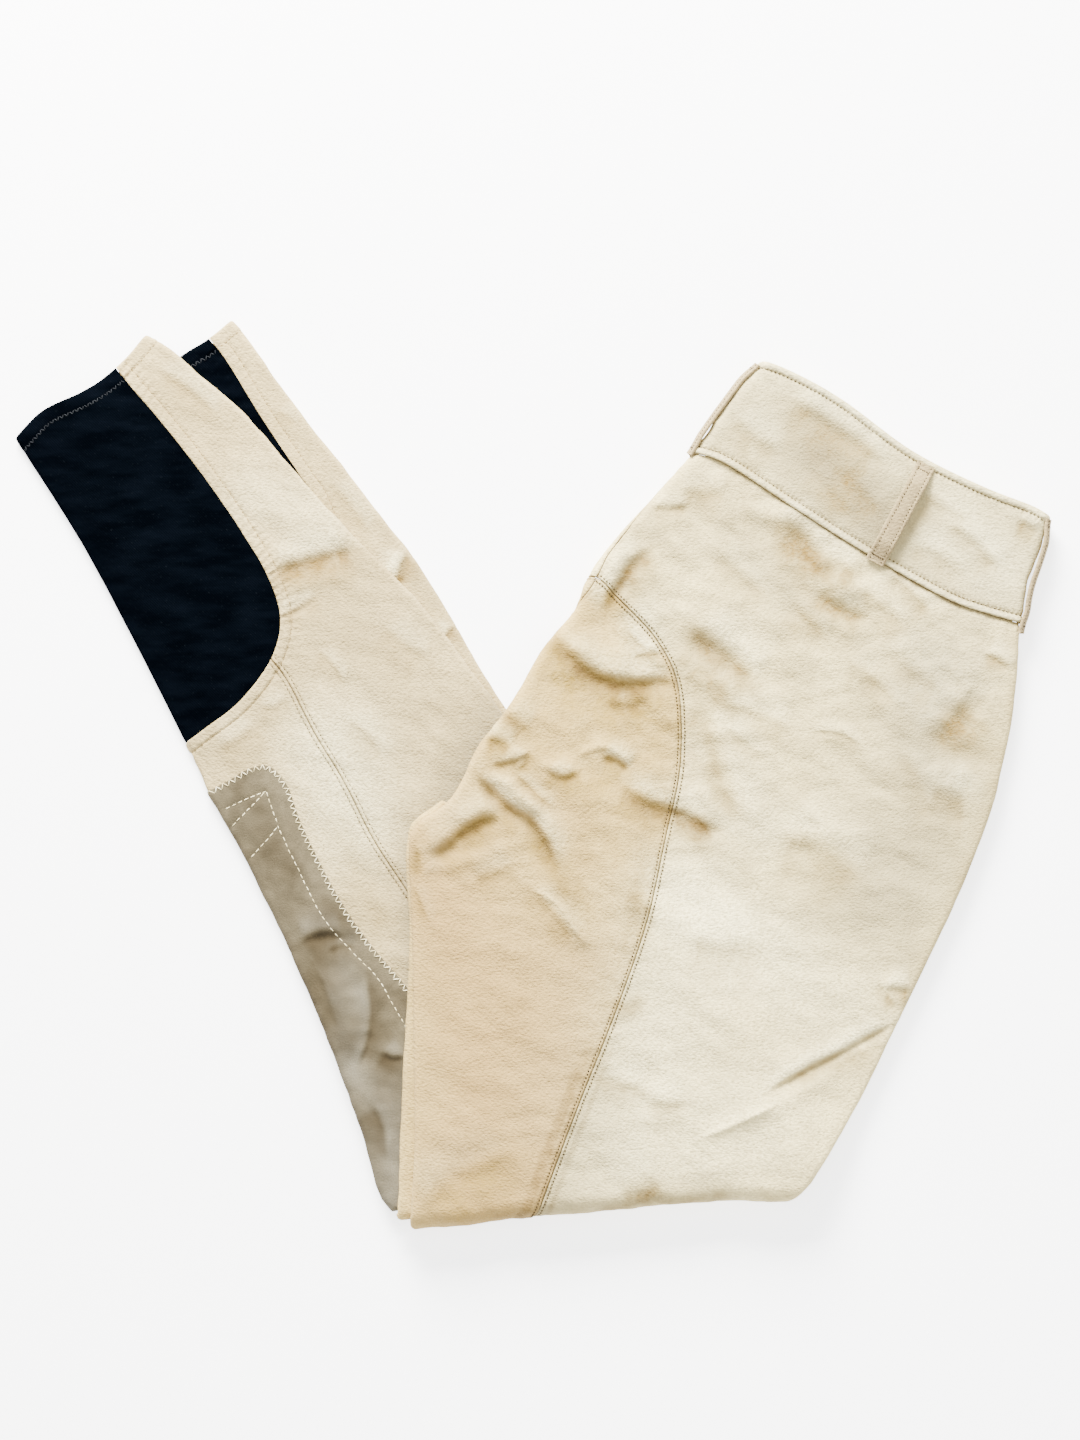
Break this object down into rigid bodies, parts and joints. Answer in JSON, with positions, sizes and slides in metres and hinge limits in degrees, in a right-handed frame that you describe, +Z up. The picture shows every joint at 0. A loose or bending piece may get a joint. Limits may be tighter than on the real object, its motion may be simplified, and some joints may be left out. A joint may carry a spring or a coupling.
{
  "type": "riding breeches, folded",
  "caption": "Riding breeches folded lengthwise and turned under at the knee, lying flat seat side up, with open belt loops, suede knee patch and stretch calf panel.",
  "frame": {"origin": "middle of the pile's bounding box on the surface that it lies on", "axes": "+Z up from the surface; +X from the left cuff towards the side of the waistband; +Y from the folded knees towards the waist"},
  "size_m": [0.5613, 0.4919, 0.0246],
  "materials": {
    "waistband_cloth": "matt cotton twill, doubled",
    "loop_cloth": "matt cotton twill",
    "seat_cloth": "matt stretch cotton twill",
    "inner_thigh_cloth": "matt stretch cotton twill, warmer in tone",
    "leg_cloth": "matt stretch cotton twill",
    "stretch_cloth": "smooth two-way stretch jersey, navy black",
    "suede_patch": "napped suede, worn",
    "hidden_cloth": "matt stretch cotton twill"
  },
  "bodies": {
    "root": {"waistband": "waistband_cloth", "belt_loop_back": "loop_cloth", "belt_loop_side": "loop_cloth", "belt_loop_centre_back": "loop_cloth", "right_seat_panel": "seat_cloth", "left_seat_edge": "seat_cloth", "right_inner_panel": "inner_thigh_cloth", "left_inner_edge": "inner_thigh_cloth", "left_thigh_edge": "inner_thigh_cloth", "left_outer_leg": "leg_cloth", "left_inner_leg": "leg_cloth", "right_outer_leg": "leg_cloth", "left_calf_stretch": "stretch_cloth", "right_calf_stretch": "stretch_cloth", "left_knee_patch": "suede_patch", "hidden_layers": "hidden_cloth"}
  },
  "joints": []
}
